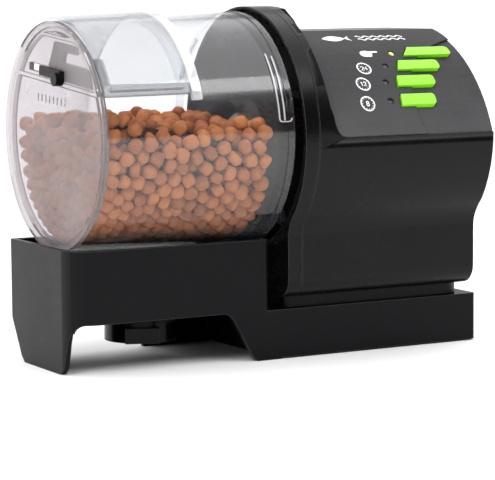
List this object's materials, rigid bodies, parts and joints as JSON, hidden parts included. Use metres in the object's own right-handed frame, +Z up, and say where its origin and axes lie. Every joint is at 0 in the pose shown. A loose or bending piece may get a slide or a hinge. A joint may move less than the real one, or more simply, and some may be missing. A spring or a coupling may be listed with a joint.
{
  "type": "automatic fish feeder",
  "caption": "Battery fish feeder: a clear food drum turned by a geared motor over a tray with a drop spout, a push-button housing and a base that bridges the tank rim.",
  "frame": {"origin": "middle of the footprint, on the surface the feeder stands on", "axes": "+X along the drum axis from the dosing cap to the housing, -Y the front with the control panel, +Z up"},
  "size_m": [0.1404, 0.0758, 0.1062],
  "materials": {
    "base_plastic": "satin",
    "neck_plastic": "matte",
    "rubber": "matte",
    "case_plastic": "satin",
    "panel_plastic": "satin",
    "button_plastic": "satin",
    "steel": "bright",
    "brass": "bright",
    "nylon": "satin",
    "cell_wrap": "gloss",
    "black_plastic": "gloss",
    "grey_plastic": "satin",
    "circuit_board": "satin",
    "lamp_on": "clear, lit",
    "lamp_off": "clear, dark",
    "clear_plastic": "clear",
    "milky_plastic": "frosted",
    "food_pellets": "dry, grainy"
  },
  "bodies": {
    "root": {"base_shell": "base_plastic", "drop_spout": "base_plastic", "foot_pad_1": "rubber", "foot_pad_2": "rubber", "foot_pad_3": "rubber", "foot_pad_4": "rubber", "support_neck": "neck_plastic", "neck_screw_1": "steel", "neck_screw_2": "steel", "front_bezel": "case_plastic", "housing_shell": "case_plastic", "case_screw_1": "steel", "case_screw_2": "steel", "case_screw_3": "steel", "case_screw_4": "steel", "battery_bay": "black_plastic", "battery_cell_1": "cell_wrap", "battery_cell_2": "cell_wrap", "battery_bridge_plate": "steel", "battery_terminal_negative": "steel", "battery_terminal_positive": "steel", "battery_spring_1": "steel", "battery_spring_2": "steel", "food_fill": "food_pellets", "control_panel": "panel_plastic", "circuit_board": "circuit_board", "board_screw_1": "steel", "board_screw_2": "steel", "feed_switch": "black_plastic", "interval_24h_switch": "black_plastic", "interval_12h_switch": "black_plastic", "interval_8h_switch": "black_plastic", "feed_lamp": "lamp_on", "interval_24h_lamp": "lamp_off", "interval_12h_lamp": "lamp_off", "interval_8h_lamp": "lamp_off", "first_idler_axle": "steel", "second_idler_axle": "steel", "gear_plate": "nylon", "motor": "steel", "shaft_bush": "nylon", "home_switch": "black_plastic"},
    "drum": {"drum_shell": "clear_plastic", "drum_end_cap": "milky_plastic", "drive_shaft": "nylon", "output_gear": "nylon", "home_cam": "nylon"},
    "fill_door": {"fill_door": "clear_plastic"},
    "portion_slider": {"portion_gate": "grey_plastic", "portion_knob": "black_plastic"},
    "battery_door": {"battery_door": "case_plastic"},
    "feed_button": {"feed_button": "button_plastic"},
    "interval_24h_button": {"interval_24h_button": "button_plastic"},
    "interval_12h_button": {"interval_12h_button": "button_plastic"},
    "interval_8h_button": {"interval_8h_button": "button_plastic"},
    "second_idler": {"second_idler_gear": "nylon"},
    "first_idler": {"first_idler_gear": "nylon"},
    "motor_rotor": {"motor_pinion": "brass", "motor_shaft": "steel"}
  },
  "joints": [
    {"name": "drum_turn", "type": "hinge", "parent": "root", "child": "drum", "pos_m": [0, 0, 0.0686], "axis": [1, 0, 0], "continuous": true},
    {"name": "second_idler_turn", "type": "hinge", "parent": "root", "child": "second_idler", "pos_m": [0.012, 0.01604, 0.06043], "axis": [1, 0, 0], "continuous": true},
    {"name": "first_idler_turn", "type": "hinge", "parent": "root", "child": "first_idler", "pos_m": [0.012, 0.0189, 0.07515], "axis": [1, 0, 0], "continuous": true},
    {"name": "motor_turn", "type": "hinge", "parent": "root", "child": "motor_rotor", "pos_m": [0.012, 0.00903, 0.08645], "axis": [1, 0, 0], "continuous": true},
    {"name": "fill_door_slide", "type": "hinge", "parent": "drum", "child": "fill_door", "pos_m": [0, 0, 0.0686], "axis": [1, 0, 0], "range_deg": [-80, 0]},
    {"name": "portion_slide", "type": "slide", "parent": "drum", "child": "portion_slider", "axis": [0, 0.9957, 0.0924], "range_m": [0, 0.01]},
    {"name": "battery_door_slide", "type": "slide", "parent": "root", "child": "battery_door", "axis": [1, 0, 0], "range_m": [0, 0.062]},
    {"name": "feed_button_press", "type": "slide", "parent": "root", "child": "feed_button", "axis": [0, 0.6691, -0.7431], "range_m": [0, 0.0006], "stiffness_N_per_m": 400},
    {"name": "interval_24h_button_press", "type": "slide", "parent": "root", "child": "interval_24h_button", "axis": [0, 0.6691, -0.7431], "range_m": [0, 0.0006], "stiffness_N_per_m": 400},
    {"name": "interval_12h_button_press", "type": "slide", "parent": "root", "child": "interval_12h_button", "axis": [0, 0.6691, -0.7431], "range_m": [0, 0.0006], "stiffness_N_per_m": 400},
    {"name": "interval_8h_button_press", "type": "slide", "parent": "root", "child": "interval_8h_button", "axis": [0, 0.6691, -0.7431], "range_m": [0, 0.0006], "stiffness_N_per_m": 400}
  ],
  "couplings": [
    {"joint": "second_idler_turn", "follows": "drum_turn", "ratio": -5},
    {"joint": "first_idler_turn", "follows": "drum_turn", "ratio": 20},
    {"joint": "motor_turn", "follows": "drum_turn", "ratio": -80}
  ]
}
